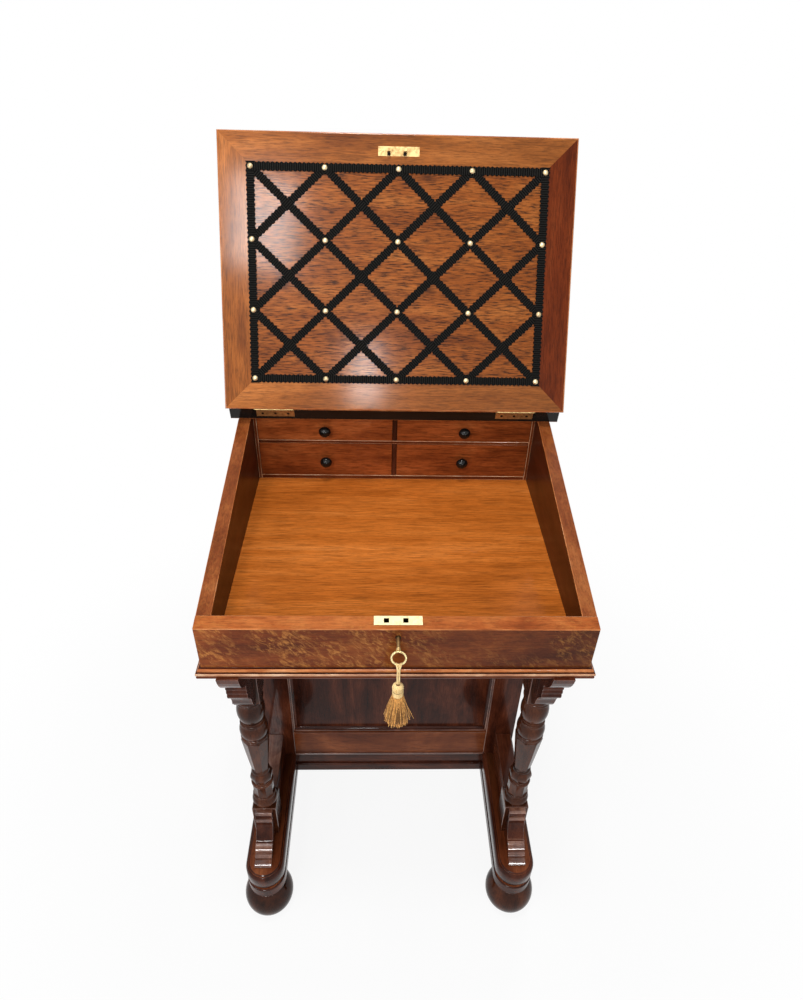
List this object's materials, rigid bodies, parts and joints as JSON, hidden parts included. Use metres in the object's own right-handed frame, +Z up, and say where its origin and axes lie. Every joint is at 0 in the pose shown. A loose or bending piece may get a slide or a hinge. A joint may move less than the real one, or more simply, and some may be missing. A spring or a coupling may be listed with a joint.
{
  "type": "davenport desk",
  "caption": "Small sloped-lid writing desk on turned columns, with side drawers, inner drawers, low gallery and a keyed lock.",
  "frame": {"origin": "on the floor, centred between the sides and half way from the key's ring to the top edge of the open lid", "axes": "+X to the sitter's right, +Y to the back, +Z up"},
  "size_m": [0.56, 0.6497, 1.2392],
  "materials": {
    "mahogany": "polished reddish mid-brown mahogany",
    "walnut": "warm orange-brown board, satin polish",
    "dark_polish": "very dark red-brown high polish",
    "ebonised": "black gloss polish",
    "pale_moulding": "banded moulding, polished",
    "brass": "lacquered brass",
    "leather": "dark green skiver",
    "ribbon": "black corded ribbon with a picot edge",
    "straw_silk": "straw-gold silk"
  },
  "bodies": {
    "carcass": {"box_back": "mahogany", "box_bottom": "mahogany", "box_front": "mahogany", "box_moulding": "pale_moulding", "box_side_left": "mahogany", "box_side_right": "mahogany", "bun_feet": "dark_polish", "column_left": "dark_polish", "column_right": "dark_polish", "cross_rails": "dark_polish", "drawer_boards": "mahogany", "drawer_nest": "mahogany", "dummy_drawer_fronts": "mahogany", "dummy_knobs": "ebonised", "fixed_top": "mahogany", "gallery_rails": "mahogany", "gallery_spindles": "mahogany", "hinge_leaves_fixed": "brass", "keyhole_lining": "brass", "lock_case": "brass", "lock_plate": "brass", "lower_brackets": "dark_polish", "pedestal_back_frame": "dark_polish", "pedestal_back_panel": "dark_polish", "pedestal_front_frame": "dark_polish", "pedestal_front_panel": "dark_polish", "pedestal_left_side": "dark_polish", "pedestal_panel_bead": "dark_polish", "runner_left": "dark_polish", "runner_right": "dark_polish", "upper_brackets": "dark_polish", "well_floor": "walnut"},
    "lid": {"lid_frame": "mahogany", "lid_panel": "mahogany", "writing_leather": "leather", "link_plate": "brass", "ribbon_rack": "ribbon", "ribbon_studs": "brass", "hinge_leaves_lid": "brass"},
    "key": {"key": "brass"},
    "lock_bolt": {"lock_bolt": "brass"},
    "tassel": {"tassel_cord": "straw_silk", "tassel": "straw_silk"},
    "small_drawer_upper_left": {"small_drawer_upper_left": "mahogany", "small_drawer_upper_left_knob": "ebonised"},
    "small_drawer_upper_right": {"small_drawer_upper_right": "mahogany", "small_drawer_upper_right_knob": "ebonised"},
    "small_drawer_lower_left": {"small_drawer_lower_left": "mahogany", "small_drawer_lower_left_knob": "ebonised"},
    "small_drawer_lower_right": {"small_drawer_lower_right": "mahogany", "small_drawer_lower_right_knob": "ebonised"},
    "side_drawer_1": {"side_drawer_1": "mahogany", "side_drawer_1_knobs": "ebonised"},
    "side_drawer_2": {"side_drawer_2": "mahogany", "side_drawer_2_knobs": "ebonised"},
    "side_drawer_3": {"side_drawer_3": "mahogany", "side_drawer_3_knobs": "ebonised"},
    "side_drawer_4": {"side_drawer_4": "mahogany", "side_drawer_4_knobs": "ebonised"}
  },
  "joints": [
    {"name": "lid_hinge", "type": "hinge", "parent": "carcass", "child": "lid", "pos_m": [0, 0.13182, 0.84639], "axis": [-1, 0, 0], "range_deg": [-126.74, 0]},
    {"name": "small_drawer_upper_left_slide", "type": "slide", "parent": "carcass", "child": "small_drawer_upper_left", "axis": [0, -1, 0], "range_m": [0, 0.085]},
    {"name": "small_drawer_upper_right_slide", "type": "slide", "parent": "carcass", "child": "small_drawer_upper_right", "axis": [0, -1, 0], "range_m": [0, 0.085]},
    {"name": "small_drawer_lower_left_slide", "type": "slide", "parent": "carcass", "child": "small_drawer_lower_left", "axis": [0, -1, 0], "range_m": [0, 0.085]},
    {"name": "small_drawer_lower_right_slide", "type": "slide", "parent": "carcass", "child": "small_drawer_lower_right", "axis": [0, -1, 0], "range_m": [0, 0.085]},
    {"name": "side_drawer_1_slide", "type": "slide", "parent": "carcass", "child": "side_drawer_1", "axis": [1, 0, 0], "range_m": [0, 0.3]},
    {"name": "side_drawer_2_slide", "type": "slide", "parent": "carcass", "child": "side_drawer_2", "axis": [1, 0, 0], "range_m": [0, 0.3]},
    {"name": "side_drawer_3_slide", "type": "slide", "parent": "carcass", "child": "side_drawer_3", "axis": [1, 0, 0], "range_m": [0, 0.3]},
    {"name": "side_drawer_4_slide", "type": "slide", "parent": "carcass", "child": "side_drawer_4", "axis": [1, 0, 0], "range_m": [0, 0.3]},
    {"name": "key_turn", "type": "hinge", "parent": "carcass", "child": "key", "pos_m": [0, -0.27018, 0.731], "axis": [0, 1, 0], "range_deg": [-90, 180]},
    {"name": "bolt_slide", "type": "slide", "parent": "carcass", "child": "lock_bolt", "axis": [1, 0, 0], "range_m": [-0.002, 0.004]},
    {"name": "tassel_hang", "type": "hinge", "parent": "key", "child": "tassel", "pos_m": [0, -0.31658, 0.731], "axis": [0, 1, 0], "range_deg": [-180, 90]}
  ],
  "couplings": [
    {"joint": "bolt_slide", "follows": "key_turn", "m_per_rad": 0.00127},
    {"joint": "tassel_hang", "follows": "key_turn", "ratio": -1}
  ]
}
